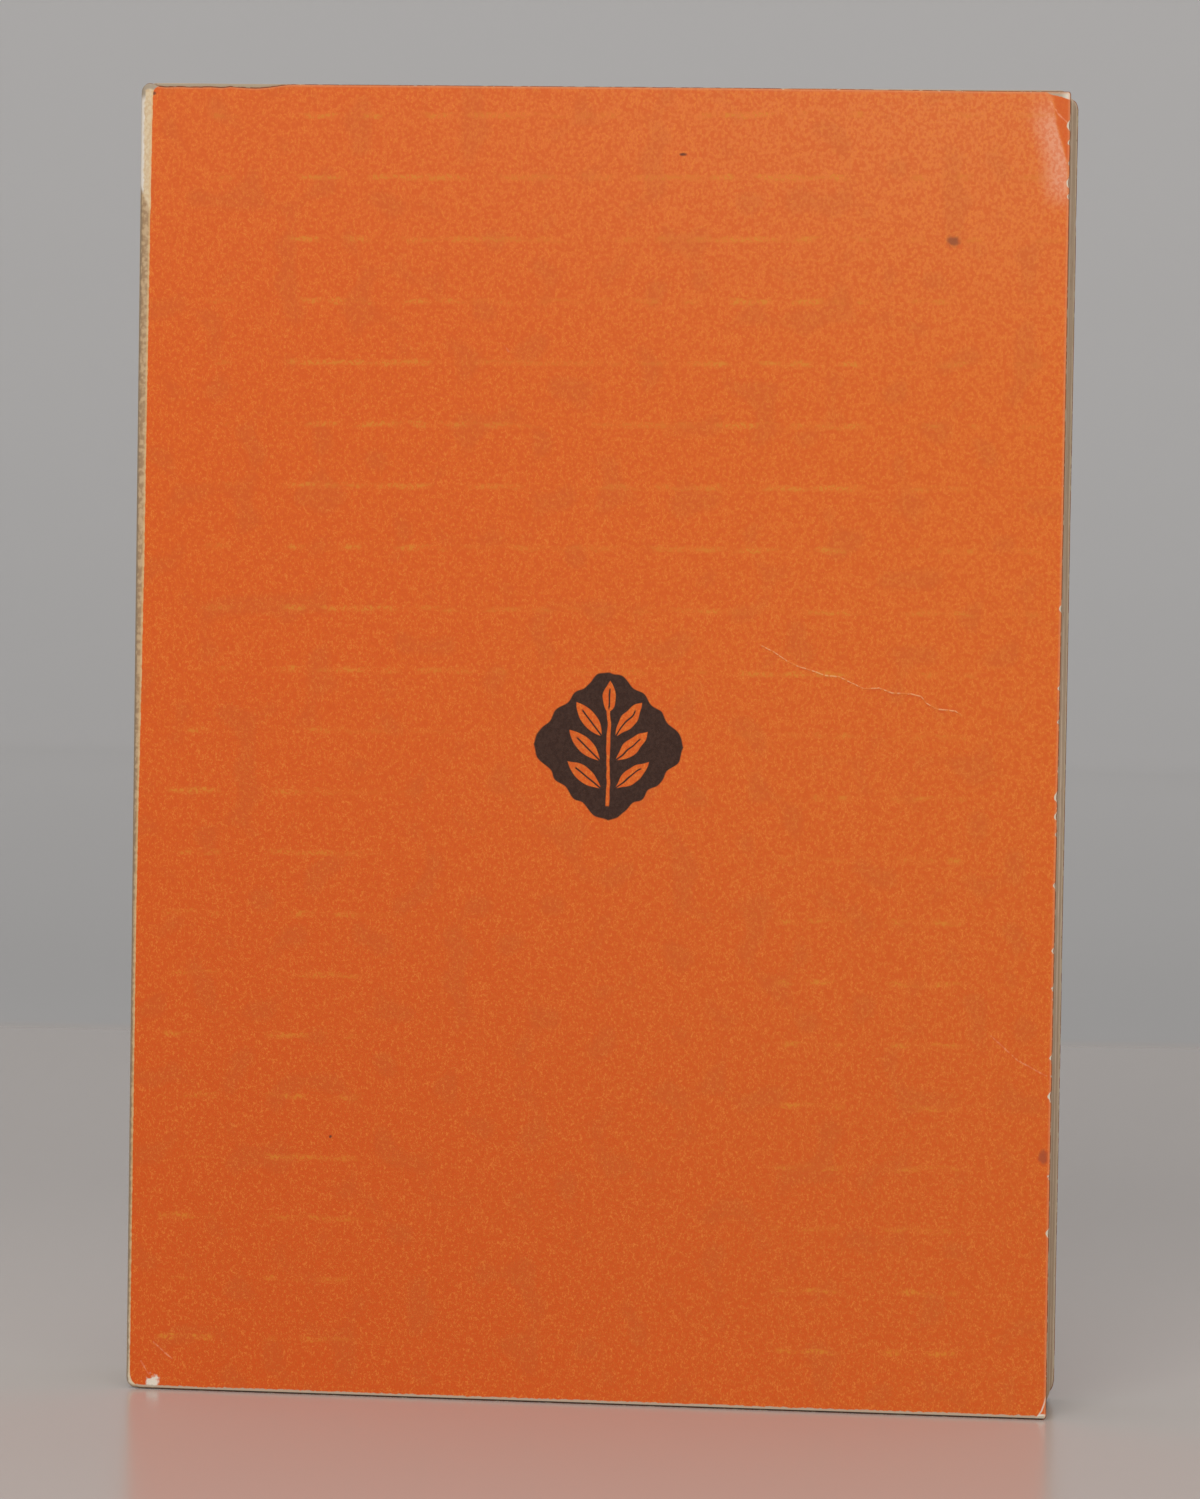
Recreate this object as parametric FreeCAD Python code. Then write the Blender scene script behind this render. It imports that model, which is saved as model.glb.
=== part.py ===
import FreeCAD, Part
import os

# An old paperback book, standing upright on its tail, with both covers closed.
# A trimmed block of folded sections is glued by its back into one folded card cover.
# Units are millimetres and +Z is up. X runs from the spine, at -X, to the fore-edge, at +X.
# The front cover faces -Y. The origin is the middle of the footprint, at standing height.

# Trimmed size of the closed book, across and up.
book_width = 126.0
book_height = 178.0

# Block of leaves: its thickness and the folded sections that it is gathered from.
block_thickness = 18.8
section_count = 13

# Fore-edge of the block: a little inside the covers' edge, its middle slightly proud,
# and leaning back towards the front cover as a much read block does.
fore_edge_setback = 0.05
fore_edge_crown = 0.08
fore_edge_lean = 0.15
section_bulge = 0.05

# Line between two sections, which opens a little along the three trimmed edges.
groove_width = 0.36
groove_depth = 0.22

# Back of the block, which is eased where it meets the folds of the cover.
block_back_round = 0.7

# Card of the cover, and the outside radius of its two folds.
card_thickness = 0.3
fold_radius = 1.0

# Adhesive film that holds the block in the cover, short of the head and the tail.
glue_thickness = 0.4
glue_setback = 1.2

# Clearances: each cover from the first leaf under it, and from its own fold.
cover_to_block = 0.1
cover_to_fold = 0.05

# Corners worn round. Both folds share one radius, the front cover's own fore corners
# stayed sharp, and the leaves and the back cover were rubbed off together.
fold_corner_wear = 1.4
front_head_wear = 0.35
front_tail_wear = 0.6
leaf_head_wear = 1.4
leaf_tail_wear = 2.6

# Front cover's head edge, rubbed down beside the fold in one long shallow dip.
head_dip_length = 22.0
head_dip_depth = 0.4

# Places that follow from the sizes above.
book_thickness = block_thickness + 2 * (card_thickness + cover_to_block)
spine_x = -book_width / 2
fore_x = book_width / 2
front_y = -book_thickness / 2
back_y = book_thickness / 2
fold_x = spine_x + fold_radius
glue_x = spine_x + card_thickness
block_back_x = glue_x + glue_thickness
block_fore_x = fore_x - fore_edge_setback
block_half = block_thickness / 2
section_thickness = block_thickness / section_count
half_groove = groove_width / 2


def point(x, y, z):
    """A point of the book's own frame."""
    return FreeCAD.Vector(x, y, z)


def line(start, end):
    """A straight edge between two points."""
    return Part.LineSegment(start, end).toShape()


def arc(start, middle, end):
    """A circular edge through three points."""
    return Part.Arc(start, middle, end).toShape()


def lines_through(points):
    """Straight edges that join a run of points in order."""
    return [line(start, end) for start, end in zip(points, points[1:])]


def prism(edges, direction):
    """A closed run of edges, filled and pushed along a direction."""
    return Part.Face(Part.Wire(edges)).extrude(direction)


def quarter(centre, radius, from_side, to_side):
    """A quarter circle from one unit direction to another, about a centre."""
    middle = (from_side + to_side).normalize()
    return arc(centre + from_side * radius, centre + middle * radius, centre + to_side * radius)


RIGHT = point(1, 0, 0)
BACK = point(0, 1, 0)
UP = point(0, 0, 1)


def worn_outline(low_x, high_x, fore_tail, fore_head):
    """Slab as deep and high as the book, with the four worn corners of its front view."""
    fold = fold_corner_wear
    tail_left = point(low_x + fold, front_y, fold)
    tail_right = point(high_x - fore_tail, front_y, fore_tail)
    head_right = point(high_x - fore_head, front_y, book_height - fore_head)
    head_left = point(low_x + fold, front_y, book_height - fold)
    edges = [
        quarter(tail_left, fold, -RIGHT, -UP),
        line(tail_left - UP * fold, tail_right - UP * fore_tail),
        quarter(tail_right, fore_tail, -UP, RIGHT),
        line(tail_right + RIGHT * fore_tail, head_right + RIGHT * fore_head),
        quarter(head_right, fore_head, RIGHT, UP),
        line(head_right + UP * fore_head, head_left + UP * fold),
        quarter(head_left, fold, UP, -RIGHT),
        line(head_left - RIGHT * fold, tail_left - RIGHT * fold),
    ]
    return prism(edges, BACK * book_thickness)


def section_joints():
    """Depth of each line between two sections, from the front to the back."""
    return [-block_half + section_thickness * number for number in range(1, section_count)]


def crown_x(y):
    """Fore-edge of the block at a depth: a shallow crown on a slope down to the front."""
    share = y / block_half
    return block_fore_x - fore_edge_crown * share ** 2 - fore_edge_lean * (1 - share) / 2


def fore_edge_edges():
    """Fore-edge in plan: each section bows outwards, and a notch parts it from the next."""
    edges = []
    start_y = -block_half
    for joint_y in section_joints() + [block_half]:
        is_last = joint_y == block_half
        end_y = joint_y if is_last else joint_y - half_groove
        middle_y = (start_y + end_y) / 2
        start = point(crown_x(start_y) - section_bulge, start_y, 0)
        middle = point(crown_x(middle_y), middle_y, 0)
        end = point(crown_x(end_y) - section_bulge, end_y, 0)
        edges.append(arc(start, middle, end))
        if not is_last:
            next_y = joint_y + half_groove
            valley = point(crown_x(joint_y) - groove_depth, joint_y, 0)
            following = point(crown_x(next_y) - section_bulge, next_y, 0)
            edges.extend(lines_through([end, valley, following]))
            start_y = next_y
    return edges


def block_plan():
    """The block seen from above, pushed up to full height."""
    fore_edge = fore_edge_edges()
    front_fore = fore_edge[0].Vertexes[0].Point
    back_fore = fore_edge[-1].Vertexes[-1].Point
    front_centre = point(block_back_x + block_back_round, -block_half + block_back_round, 0)
    back_centre = point(block_back_x + block_back_round, block_half - block_back_round, 0)
    edges = [line(front_centre - BACK * block_back_round, front_fore)]
    edges.extend(fore_edge)
    edges.append(line(back_fore, back_centre + BACK * block_back_round))
    edges.append(quarter(back_centre, block_back_round, BACK, -RIGHT))
    edges.append(line(back_centre - RIGHT * block_back_round, front_centre - RIGHT * block_back_round))
    edges.append(quarter(front_centre, block_back_round, -RIGHT, -BACK))
    return prism(edges, UP * book_height)


def block_end_view():
    """The block seen from the fore-edge: flat head and tail with a notch at each joint."""
    tail = [point(spine_x, -block_half, 0)]
    head = [point(spine_x, -block_half, book_height)]
    for joint_y in section_joints():
        tail.append(point(spine_x, joint_y - half_groove, 0))
        tail.append(point(spine_x, joint_y, groove_depth))
        tail.append(point(spine_x, joint_y + half_groove, 0))
        head.append(point(spine_x, joint_y - half_groove, book_height))
        head.append(point(spine_x, joint_y, book_height - groove_depth))
        head.append(point(spine_x, joint_y + half_groove, book_height))
    tail.append(point(spine_x, block_half, 0))
    head.append(point(spine_x, block_half, book_height))
    outline = tail + head[::-1] + tail[:1]
    return prism(lines_through(outline), RIGHT * book_width)


def make_page_block():
    """All the leaves as one solid: what its three outlines have in common."""
    worn = worn_outline(block_back_x, block_fore_x, leaf_tail_wear, leaf_head_wear)
    return block_plan().common(block_end_view()).common(worn)


def make_spine_glue():
    """Film of adhesive between the back of the block and the spine of the cover."""
    depth = book_thickness - 2 * fold_radius
    height = book_height - 2 * glue_setback
    corner = point(glue_x, front_y + fold_radius, glue_setback)
    return Part.makeBox(glue_thickness, depth, height, corner)


def fold_edges(radius):
    """Spine and both folds in plan, from the front fold round to the back one."""
    front_centre = point(fold_x, front_y + fold_radius, 0)
    back_centre = point(fold_x, back_y - fold_radius, 0)
    return [
        quarter(front_centre, radius, -BACK, -RIGHT),
        line(front_centre - RIGHT * radius, back_centre - RIGHT * radius),
        quarter(back_centre, radius, -RIGHT, BACK),
    ]


def make_cover_spine():
    """Spine panel with the two folds that carry the covers."""
    inner_radius = fold_radius - card_thickness
    front_outer = point(fold_x, front_y, 0)
    front_inner = point(fold_x, front_y + card_thickness, 0)
    back_outer = point(fold_x, back_y, 0)
    back_inner = point(fold_x, back_y - card_thickness, 0)
    edges = fold_edges(fold_radius)
    edges.append(line(back_outer, back_inner))
    edges.extend(reversed(fold_edges(inner_radius)))
    edges.append(line(front_inner, front_outer))
    worn = worn_outline(spine_x, fore_x, front_tail_wear, front_head_wear)
    return prism(edges, UP * book_height).common(worn)


def cover_panel(outer_y, inward, tail_wear, head_wear):
    """Flat cover from just past its fold to the fore-edge, with the worn corners."""
    inner_y = outer_y + inward * card_thickness
    corner = point(fold_x + cover_to_fold, min(outer_y, inner_y), 0)
    width = fore_x - fold_x - cover_to_fold
    panel = Part.makeBox(width, card_thickness, book_height, corner)
    return panel.common(worn_outline(spine_x, fore_x, tail_wear, head_wear))


def head_dip():
    """The lens of card that rubbing took from the front cover's head edge."""
    start = point(fold_x, front_y, book_height)
    middle = point(fold_x + head_dip_length / 2, front_y, book_height - head_dip_depth)
    end = point(fold_x + head_dip_length, front_y, book_height)
    return prism([arc(start, middle, end), line(end, start)], BACK * card_thickness)


def make_front_cover():
    """Front cover, which swings on the front fold."""
    return cover_panel(front_y, 1, front_tail_wear, front_head_wear).cut(head_dip())


def make_back_cover():
    """Back cover, which swings on the back fold."""
    return cover_panel(back_y, -1, leaf_tail_wear, leaf_head_wear)


PIECES = {
    "page_block": make_page_block,
    "spine_glue": make_spine_glue,
    "cover_spine": make_cover_spine,
    "front_cover": make_front_cover,
    "back_cover": make_back_cover,
}

os.makedirs("parts", exist_ok=True)
for name, make in PIECES.items():
    solid = make().Solids[0]
    solid.exportStep("parts/" + name + ".step")
    box = solid.BoundBox
    print(name, "volume", round(solid.Volume, 1), "mm3, from", round(box.XMin, 2), round(box.YMin, 2),
          round(box.ZMin, 2), "to", round(box.XMax, 2), round(box.YMax, 2), round(box.ZMax, 2))
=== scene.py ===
# %% [markdown]
# # A worn paperback, standing closed on its tail
# The real book is one folded card cover, glued by its spine to a block of trimmed leaves. The frame
# that is loaded here already holds every piece at its real size and place. This lesson dresses it:
# it makes the surfaces that the eye reads as card, print and paper, one piece after another, and
# then it sets up the photograph's camera and light.

# %% Open the frame
import math

import bmesh
import bpy
import numpy as np
from mathutils import Matrix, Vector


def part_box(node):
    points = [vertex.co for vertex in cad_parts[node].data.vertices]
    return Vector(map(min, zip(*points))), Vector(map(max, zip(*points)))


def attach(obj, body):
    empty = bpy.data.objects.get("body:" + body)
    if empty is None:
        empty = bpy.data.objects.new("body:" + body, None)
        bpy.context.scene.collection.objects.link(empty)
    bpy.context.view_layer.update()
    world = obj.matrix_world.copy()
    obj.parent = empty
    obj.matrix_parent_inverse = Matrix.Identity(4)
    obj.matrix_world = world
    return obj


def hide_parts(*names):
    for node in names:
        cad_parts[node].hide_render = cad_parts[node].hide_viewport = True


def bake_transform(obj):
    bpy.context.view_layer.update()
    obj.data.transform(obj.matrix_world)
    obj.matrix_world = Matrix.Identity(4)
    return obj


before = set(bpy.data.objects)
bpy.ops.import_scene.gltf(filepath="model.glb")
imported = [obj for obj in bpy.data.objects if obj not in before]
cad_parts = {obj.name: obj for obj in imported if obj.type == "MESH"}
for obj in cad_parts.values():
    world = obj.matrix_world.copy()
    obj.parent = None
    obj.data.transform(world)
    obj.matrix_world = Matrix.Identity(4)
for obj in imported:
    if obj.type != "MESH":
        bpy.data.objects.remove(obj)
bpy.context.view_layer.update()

MM = 0.001

# %% [markdown]
# ## Sizes
# Nothing is measured twice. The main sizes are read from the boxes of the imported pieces, so the
# dressed book stays where the frame is. Work goes on in millimetres, because a card of 0.3 is easier
# to think about than one of 0.0003, and the numbers turn into metres when a mesh is filled.

# %% Sizes read from the frame


def box_mm(node):
    """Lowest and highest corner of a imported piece, in millimetres."""
    low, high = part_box(node)
    return np.array(low) / MM, np.array(high) / MM


front_low, front_high = box_mm("front_cover")
spine_low, spine_high = box_mm("cover_spine")
block_low, block_high = box_mm("page_block")
book_height = front_high[2]
half_thickness = spine_high[1]
card = front_high[1] - front_low[1]
fold_radius = spine_high[0] - spine_low[0]
spine_x = spine_low[0]
fold_x = spine_high[0]
fore_x = front_high[0]
fold_arc = fold_radius * math.pi / 2
print("book", round(fore_x - spine_x, 2), "x", round(2 * half_thickness, 2), "x", round(book_height, 2), "mm")
print("card", round(card, 2), "mm, fold radius", round(fold_radius, 2), "mm")

# %% [markdown]
# ## Tools for shapes
# Paper and card are never quite straight, and never random either: an edge wanders slowly, and
# handling bites small pieces out of it. Both are functions of the distance along the edge. A sum of
# sine waves with seeded phases gives the slow part, and the tops of a faster sum, cut off at a
# threshold, give the bites. The same seed gives the same edge in each run.

# %% Slow wander, small bites and round corners


def wander(distance, reach, longest, shortest, seed):
    """Irregular slow line: reach times a weighted mean of sine waves.

    Wave k has a length between longest and shortest, a random phase, and the square root of its
    length as its weight, so that long waves are the high ones.
    """
    draw = np.random.default_rng(seed)
    count = 10
    lengths = np.geomspace(longest, shortest, count) * draw.uniform(0.85, 1.15, count)
    weights = np.sqrt(lengths / longest)
    phases = draw.uniform(0, 2 * np.pi, count)
    waves = np.sin(2 * np.pi * np.asarray(distance)[..., None] / lengths + phases)
    return reach * (weights * waves).sum(-1) / weights.sum()


def bites(distance, depth, length, seed, threshold=0.42):
    """Small losses along an edge: what rises past a threshold in a fast wander, scaled to a depth."""
    level = wander(distance, 1.0, 4 * length, length, seed)
    return depth * np.clip((level - threshold) / (1 - threshold), 0, 1)


def corner_drop(distance, radius):
    """How far a round corner has fallen at a distance past its start: r - sqrt(r^2 - d^2)."""
    past = np.clip(distance, 0, radius)
    return radius - np.sqrt(np.maximum(radius ** 2 - past ** 2, 0))


def ease(value, low, high):
    """Smooth step from 0 at low to 1 at high: t^2 (3 - 2t)."""
    t = np.clip((value - low) / (high - low), 0, 1)
    return t * t * (3 - 2 * t)


def spread(start, end, count, finer):
    """Points from start to end, where each gap holds the same share of a density.

    The density is 1 plus the sum of h / (1 + ((x - c) / w)^2) over the (centre, width, height) in finer.
    """
    fine = np.linspace(start, end, 4000)
    density = np.ones_like(fine)
    for centre, width, height in finer:
        density += height / (1 + ((fine - centre) / width) ** 2)
    total = np.concatenate([[0], np.cumsum((density[1:] + density[:-1]) / 2)])
    return np.interp(np.linspace(0, total[-1], count), total, fine)


# %% [markdown]
# ## From arrays to a mesh
# Each piece is worked out as whole arrays of points. One helper puts such arrays into a mesh: it
# stores the points in metres, the faces with the number of their material, and named values per
# point, which the materials read later as distances from an edge.

# %% Fill a mesh from arrays


def grid_faces(rows, columns, first=0):
    """Quads between the points of a grid that is stored row after row, starting at a point number."""
    corner = (first + np.arange((rows - 1) * columns)).reshape(rows - 1, columns)[:, :-1].ravel()
    return np.stack([corner, corner + 1, corner + columns + 1, corner + columns], -1)


def band_faces(one, other):
    """Quads between two chains of point numbers that run side by side."""
    return np.stack([one[:-1], one[1:], other[1:], other[:-1]], -1)


def ring_faces(number):
    """Quads between the rows of an array of point numbers, where each row is a closed ring."""
    closed = np.concatenate([number, number[:, :1]], 1)
    return np.concatenate([band_faces(one, other) for one, other in zip(closed, closed[1:])])


def make_piece(name, points, groups, values, smooth=True):
    """Object at the origin from points in millimetres.

    groups is a list of (faces, material), where faces is a list of quads or triangles, and values
    maps a name to one number per point.
    """
    faces = [tuple(int(n) for n in face) for group, _ in groups for face in group]
    mesh = bpy.data.meshes.new(name)
    mesh.from_pydata((points * MM).tolist(), [], faces)
    numbers = np.concatenate([np.full(len(group), index) for index, (group, _) in enumerate(groups)])
    mesh.polygons.foreach_set("material_index", numbers.astype(np.int32))
    mesh.polygons.foreach_set("use_smooth", np.full(len(faces), smooth))
    for _, material in groups:
        mesh.materials.append(material)
    for key, per_point in values.items():
        layer = mesh.attributes.new(key, "FLOAT", "POINT")
        layer.data.foreach_set("value", np.asarray(per_point, dtype=np.float32))
    turned = bmesh.new()
    turned.from_mesh(mesh)
    bmesh.ops.recalc_face_normals(turned, faces=turned.faces)
    turned.to_mesh(mesh)
    turned.free()
    mesh.update()
    piece = bpy.data.objects.new(name, mesh)
    bpy.context.scene.collection.objects.link(piece)
    print(name, "points", len(points), "faces", len(faces))
    return piece


# %% [markdown]
# ## Tools for materials
# A finish is a small recipe: take the place on the piece, make noise from it at the scale of the
# fibres or the flecks, turn distances into soft masks, and mix colours by those masks. The helpers
# below keep each recipe as short as that sentence. Places are in millimetres here too.

# %% A recipe that writes shader nodes


def linear(red, green, blue):
    """A colour given as 0-255 screen values, as the linear light that a shader works with."""
    screen = np.array([red, green, blue]) / 255
    light = np.where(screen <= 0.04045, screen / 12.92, ((screen + 0.055) / 1.055) ** 2.4)
    return (*[float(value) for value in light], 1.0)


class Recipe:
    """The node tree of one material, with a short method for each kind of step."""

    def __init__(self, name):
        self.material = bpy.data.materials.new(name)
        self.material.use_nodes = True
        self.tree = self.material.node_tree
        self.shader = self.tree.nodes["Principled BSDF"]
        place = self.tree.nodes.new("ShaderNodeTexCoord")
        self.place = self.vector("SCALE", place.outputs["Object"], scale=1 / MM)
        parts = self.tree.nodes.new("ShaderNodeSeparateXYZ")
        self.put(parts.inputs[0], self.place)
        self.x, self.y, self.z = parts.outputs

    def put(self, socket, value):
        """Link a socket to another node's output, or write a plain number or colour on it."""
        if isinstance(value, bpy.types.NodeSocket):
            self.tree.links.new(value, socket)
        else:
            socket.default_value = value

    def vector(self, operation, a, b=(0, 0, 0), scale=1.0):
        """One step of vector arithmetic."""
        node = self.tree.nodes.new("ShaderNodeVectorMath")
        node.operation = operation
        self.put(node.inputs[0], a)
        if operation == "SCALE":
            self.put(node.inputs["Scale"], scale)
        elif operation != "LENGTH":
            self.put(node.inputs[1], b)
        return node.outputs["Value" if operation in ("LENGTH", "DOT_PRODUCT") else "Vector"]

    def math(self, operation, a, b=0.0, c=0.0):
        """One step of plain arithmetic."""
        node = self.tree.nodes.new("ShaderNodeMath")
        node.operation = operation
        for socket, value in zip(node.inputs, (a, b, c)):
            self.put(socket, value)
        return node.outputs[0]

    def soft(self, value, low, high, start=0.0, end=1.0):
        """Smooth step of a value: start below low, end above high."""
        node = self.tree.nodes.new("ShaderNodeMapRange")
        node.interpolation_type = "SMOOTHSTEP"
        for name, number in zip(("Value", "From Min", "From Max", "To Min", "To Max"),
                                (value, low, high, start, end)):
            self.put(node.inputs[name], number)
        return node.outputs["Result"]

    def fade(self, value, low, high):
        """Smooth step down: 1 below low, 0 above high."""
        return self.soft(value, low, high, 1.0, 0.0)

    def less(self, value, taken):
        """A value minus another."""
        return self.math("SUBTRACT", value, taken)

    def scaled(self, value, factor, plus):
        """A value times a factor, plus another value."""
        return self.math("MULTIPLY_ADD", value, factor, plus)

    def noise(self, scale, detail=1.0, squeeze=None):
        """Smooth noise between 0 and 1, with about scale features a millimetre, squeezed along each axis."""
        place = self.place if squeeze is None else self.vector("MULTIPLY", self.place, squeeze)
        node = self.tree.nodes.new("ShaderNodeTexNoise")
        self.put(node.inputs["Vector"], place)
        self.put(node.inputs["Scale"], scale)
        self.put(node.inputs["Detail"], detail)
        return node.outputs[0]

    def line(self, value, places):
        """Result of a value on a line through (value, result) places, level past both ends."""
        low, high = places[0][0], places[-1][0]
        results = [result for _, result in places]
        bottom, top = min(results), max(results)
        node = self.tree.nodes.new("ShaderNodeFloatCurve")
        self.put(node.inputs["Value"], self.math("DIVIDE", self.less(value, low), high - low))
        shares = [((at - low) / (high - low), (result - bottom) / (top - bottom)) for at, result in places]
        curve = node.mapping.curves[0]
        for share in shares[1:-1]:
            curve.points.new(*share)
        curve.points[0].location = shares[0]
        curve.points[len(shares) - 1].location = shares[-1]
        for point in curve.points:
            point.handle_type = "VECTOR"
        node.mapping.update()
        return self.scaled(node.outputs[0], top - bottom, bottom)

    def product(self, *shares):
        """All the shares multiplied together."""
        result = shares[0]
        for share in shares[1:]:
            result = self.math("MULTIPLY", result, share)
        return result

    def value(self, name):
        """A number that the mesh stores on each of its points."""
        node = self.tree.nodes.new("ShaderNodeAttribute")
        node.attribute_name = name
        return node.outputs["Fac"]

    def mix(self, share, first, second):
        """Colour that goes from the first to the second by a share. Plain ones are screen values."""
        node = self.tree.nodes.new("ShaderNodeMix")
        node.data_type = "RGBA"
        self.put(node.inputs[0], share)
        for socket, colour in ((node.inputs[6], first), (node.inputs[7], second)):
            self.put(socket, linear(*colour) if isinstance(colour, tuple) else colour)
        return node.outputs[2]

    def relief(self, height, depth=1.0):
        """Bump from a height, where depth is the height in millimetres that a value of 1 stands for."""
        node = self.tree.nodes.new("ShaderNodeBump")
        self.put(node.inputs["Height"], height)
        self.put(node.inputs["Distance"], depth * MM)
        return node.outputs["Normal"]

    def finish(self, colour, roughness, normal=None, **constants):
        """Feed the shader, write its constant sockets, and hand the material over."""
        self.put(self.shader.inputs["Base Color"], colour)
        self.put(self.shader.inputs["Roughness"], roughness)
        if normal is not None:
            self.put(self.shader.inputs["Normal"], normal)
        for name, number in constants.items():
            self.shader.inputs[name.replace("_", " ")].default_value = number
        print("material", self.material.name, "nodes", len(self.tree.nodes))
        return self.material


# %% [markdown]
# ## Bare card
# Where there is no print, the cover is plain pulp board, cream when new and yellowed since. Close to,
# it is short fibres and a few brown specks. Noise stretched along the height gives the fibres, and a
# coarser noise gives the stains. The same recipe, in two strengths, serves the spine and the insides.

# %% Bare card, and the cut edge of the card


def bare_card_colour(recipe, pale, tanned):
    """Yellowed board: a blotchy mix of two tones, with fine fibres and sparse brown specks."""
    blotch = recipe.soft(recipe.noise(0.09, 2.0), 0.35, 0.68)
    fibre = recipe.soft(recipe.noise(3.0, 1.0, (1, 1, 0.35)), 0.3, 0.7)
    share = recipe.scaled(blotch, 0.6, recipe.product(fibre, 0.4))
    colour = recipe.mix(share, pale, tanned)
    speck = recipe.soft(recipe.noise(1.5, 0.0), 0.74, 0.8, 0.0, 0.5)
    return recipe.mix(speck, colour, (120, 86, 56)), fibre


def make_bare_card(name, pale, tanned):
    """Matte bare board for the insides of the cover and the spine."""
    recipe = Recipe(name)
    colour, fibre = bare_card_colour(recipe, pale, tanned)
    normal = recipe.relief(fibre, 0.02)
    rough = recipe.soft(fibre, 0.0, 1.0, 0.78, 0.9)
    return recipe.finish(colour, rough, normal, Specular_IOR_Level=0.3)


def make_card_edge(name):
    """Cut edge of the printed card: ink that ran over it, rubbed through to the pale core."""
    recipe = Recipe(name)
    rubbed = recipe.soft(recipe.noise(0.8, 3.0), 0.52, 0.64)
    stain = recipe.mix(recipe.soft(recipe.noise(0.3, 2.0), 0.35, 0.65), (158, 86, 44), (132, 76, 46))
    colour = recipe.mix(rubbed, stain, (190, 164, 134))
    normal = recipe.relief(recipe.noise(4.0, 1.0), 0.03)
    return recipe.finish(colour, recipe.soft(rubbed, 0.0, 1.0, 0.6, 0.85), normal, Specular_IOR_Level=0.2)


spine_card = make_bare_card("spine_card", (204, 184, 150), (188, 160, 124))
inside_card = make_bare_card("inside_card", (214, 200, 172), (203, 184, 150))
card_edge = make_card_edge("card_edge")

# %% [markdown]
# ## The printed face
# A flat orange was printed over most of the outer face, short of the fold, where a narrow strip of
# bare card still shows. The ink is not even: the board's grain stands through it as fine flecks, and
# faint broken yellow dashes run across in rows. Handling rubbed the ink off the edges and corners. Painted
# light lies over it: a shade towards the tail, a sheen at the head and a dark shade line along the edges.
# All of that follows from places on the cover and from the distances stored on its points, so one
# recipe serves both covers, and the front one gets its own marks on top.

# %% Orange print over grainy board


def orange_print(recipe):
    """Colour and grain of the printed orange, a little yellower towards the fore-edge, with painted light:
    darker towards the tail and a paler, pinker painted sheen at the head.

    The grain is made of thin bent threads. They are the places where a fine noise passes its middle
    value, and a second noise breaks them into short pieces.
    """
    across = recipe.soft(recipe.x, -50, 70)
    # Painted light: the foot colour is a painted shade, darker towards the tail, and the head colour is a
    # painted sheen from the lamps above.
    foot = recipe.mix(across, (201, 84, 19), (203, 94, 27))
    middle = recipe.mix(across, (213, 93, 20), (215, 106, 30))
    head = recipe.mix(across, (220, 114, 48), (225, 140, 82))
    colour = recipe.mix(recipe.soft(recipe.z, 0, 140), foot, middle)
    colour = recipe.mix(recipe.soft(recipe.z, 130, 185, 0.0, 0.4), colour, head)
    mottle = recipe.noise(2.6, 1.0, (1, 1, 0.85))
    colour = recipe.mix(recipe.soft(mottle, 0.35, 0.65, 0.0, 0.5), colour, (203, 78, 15))
    net = recipe.noise(2.7, 1.0, (1.3, 1, 0.7))
    thread = recipe.fade(recipe.math("ABSOLUTE", recipe.less(net, 0.5)), 0.0, 0.07)
    fleck = recipe.product(thread, recipe.soft(mottle, 0.38, 0.6, 1.0, 0.1))
    colour = recipe.mix(recipe.product(fleck, 0.75), colour, (224, 126, 50))
    dull = recipe.soft(recipe.noise(0.2, 0.0), 0.56, 0.72, 0.0, 0.14)
    colour = recipe.mix(dull, colour, (176, 94, 42))
    return colour, mottle, thread, fleck


def rim_wear_and_shade(recipe, colour, wobble):
    """Wear and painted shade along the outline, from the distance to the edge.

    The ink first gets paler, then a painted dark line stands for the shade where the card turns away, darker
    still as a painted shadow along the dipped head edge, and the ink is gone in a few places. The tail stands
    on a thin grey line of bare card over a black painted contact shadow, where it meets the table.
    """
    rim = recipe.value("rim_mm")
    colour = recipe.mix(recipe.soft(rim, 0.12, 0.5, 0.5, 0.0), colour, (214, 142, 98))
    # Painted shade: a dark line at the very edge, darker still in the head dip, where the edge lies in
    # shadow.
    in_dip = recipe.product(recipe.soft(recipe.z, 176.3, 176.9), recipe.fade(recipe.x, -44, -42))
    turned = recipe.mix(in_dip, (124, 70, 40), (72, 44, 30))
    reach = recipe.scaled(in_dip, -0.07, rim)
    colour = recipe.mix(recipe.soft(reach, 0.05, 0.15, 0.85, 0.0), colour, turned)
    frayed = recipe.scaled(wobble, 0.9, recipe.math("ADD", rim, 0.1))
    gone = recipe.product(recipe.fade(frayed, -0.05, 0.05), recipe.fade(in_dip, 0.0, 0.5))
    chip = recipe.value("chip_mm")
    into_chip = recipe.scaled(wobble, 0.25, recipe.less(chip, rim))
    chipped = recipe.product(recipe.soft(into_chip, 0.0, 0.06), recipe.soft(chip, 0.0, 0.05))
    colour = recipe.mix(recipe.math("MAXIMUM", gone, chipped), colour, (208, 194, 172))
    over_tail = recipe.scaled(wobble, 0.35, recipe.z)
    colour = recipe.mix(recipe.soft(over_tail, 0.48, 0.62, 0.9, 0.0), colour, (176, 164, 142))
    # Painted contact shadow: the black line under the tail, where the book meets the table.
    return recipe.mix(recipe.soft(recipe.z, 0.19, 0.3, 0.95, 0.0), colour, (26, 20, 17))


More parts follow.
